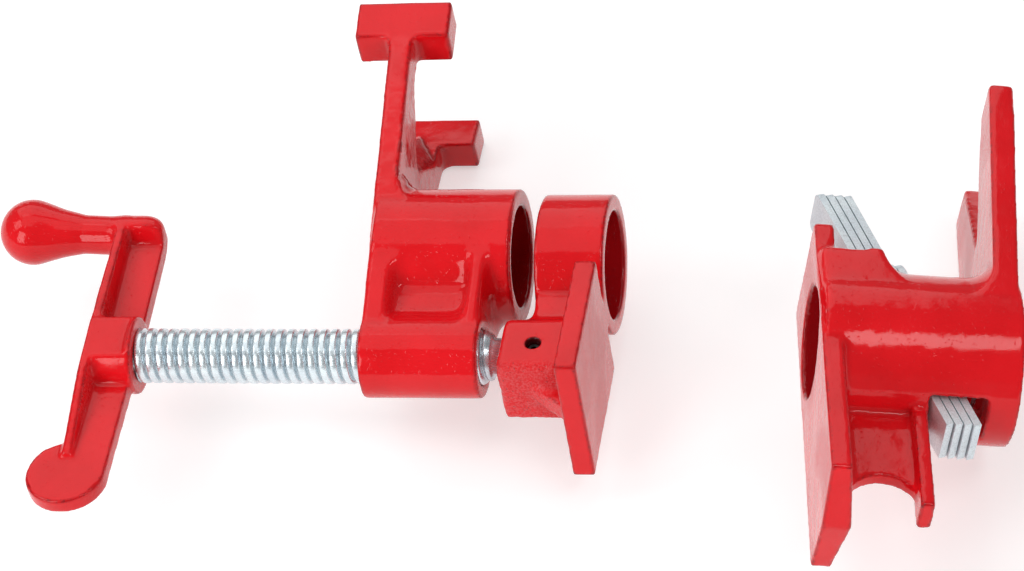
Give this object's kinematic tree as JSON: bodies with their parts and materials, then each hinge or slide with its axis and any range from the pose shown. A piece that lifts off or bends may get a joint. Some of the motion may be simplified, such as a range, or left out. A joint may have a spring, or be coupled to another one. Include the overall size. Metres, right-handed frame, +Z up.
{
  "type": "pipe clamp fixture set",
  "caption": "Pipe clamp head with a screw-driven sliding jaw and crank, and a loose tail stop that grips the pipe with spring-loaded clutch plates.",
  "frame": {"origin": "centre of the mouth of the head's pipe socket, on the pipe axis", "axes": "+X along the head's pipe axis towards the sliding jaw, +Y towards the feet, +Z up from the surface the pieces lie on"},
  "size_m": [0.2836, 0.1699, 0.0634],
  "materials": {
    "red_enamel": "glossy red enamel over rough cast iron",
    "zinc_plate": "bright bluish zinc plate",
    "bare_steel": "dull spring steel"
  },
  "bodies": {
    "head": {"head_casting": "red_enamel"},
    "screw_seat": {"thrust_pad": "bare_steel"},
    "screw": {"screw": "zinc_plate", "crank_handle": "red_enamel"},
    "jaw": {"sliding_jaw": "red_enamel", "jaw_pin": "bare_steel"},
    "tail": {"tail_casting": "red_enamel", "clutch_spring": "bare_steel"},
    "clutch_1": {"clutch_plate_1": "zinc_plate"},
    "clutch_2": {"clutch_plate_2": "zinc_plate"},
    "clutch_3": {"clutch_plate_3": "zinc_plate"},
    "clutch_4": {"clutch_plate_4": "zinc_plate"}
  },
  "joints": [
    {"name": "jaw_slide", "type": "slide", "parent": "head", "child": "screw_seat", "axis": [1, 0, 0], "range_m": [-0.00294, 0.04396]},
    {"name": "screw_turn", "type": "hinge", "parent": "screw_seat", "child": "screw", "pos_m": [0, -0.0347, 0], "axis": [1, 0, 0], "range_deg": [-360, 5400]},
    {"name": "jaw_swivel", "type": "hinge", "parent": "screw_seat", "child": "jaw", "pos_m": [0, -0.0347, 0], "axis": [1, 0, 0], "continuous": true},
    {"name": "tail_slide", "type": "slide", "parent": "head", "child": "tail", "axis": [1, 0, 0], "range_m": [0, 0.12]},
    {"name": "clutch_tilt", "type": "hinge", "parent": "tail", "child": "clutch_1", "pos_m": [0.1153, -0.06226, 0.00789], "axis": [-0.2394, -0.0822, -0.9674], "range_deg": [0, 9], "stiffness_Nm_per_rad": 0.15, "springref_deg": -11.46, "deforming": ["clutch_spring"]},
    {"name": "clutch_tilt_2", "type": "hinge", "parent": "tail", "child": "clutch_2", "pos_m": [0.11755, -0.06195, 0.0073], "axis": [-0.2394, -0.0822, -0.9674], "range_deg": [0, 9]},
    {"name": "clutch_tilt_3", "type": "hinge", "parent": "tail", "child": "clutch_3", "pos_m": [0.11981, -0.06165, 0.00672], "axis": [-0.2394, -0.0822, -0.9674], "range_deg": [0, 9]},
    {"name": "clutch_tilt_4", "type": "hinge", "parent": "tail", "child": "clutch_4", "pos_m": [0.12207, -0.06135, 0.00613], "axis": [-0.2394, -0.0822, -0.9674], "range_deg": [0, 9]}
  ],
  "couplings": [
    {"joint": "jaw_slide", "follows": "screw_turn", "m_per_rad": 0.00046632},
    {"joint": "clutch_tilt_2", "follows": "clutch_tilt", "ratio": 1},
    {"joint": "clutch_tilt_3", "follows": "clutch_tilt", "ratio": 1},
    {"joint": "clutch_tilt_4", "follows": "clutch_tilt", "ratio": 1}
  ]
}
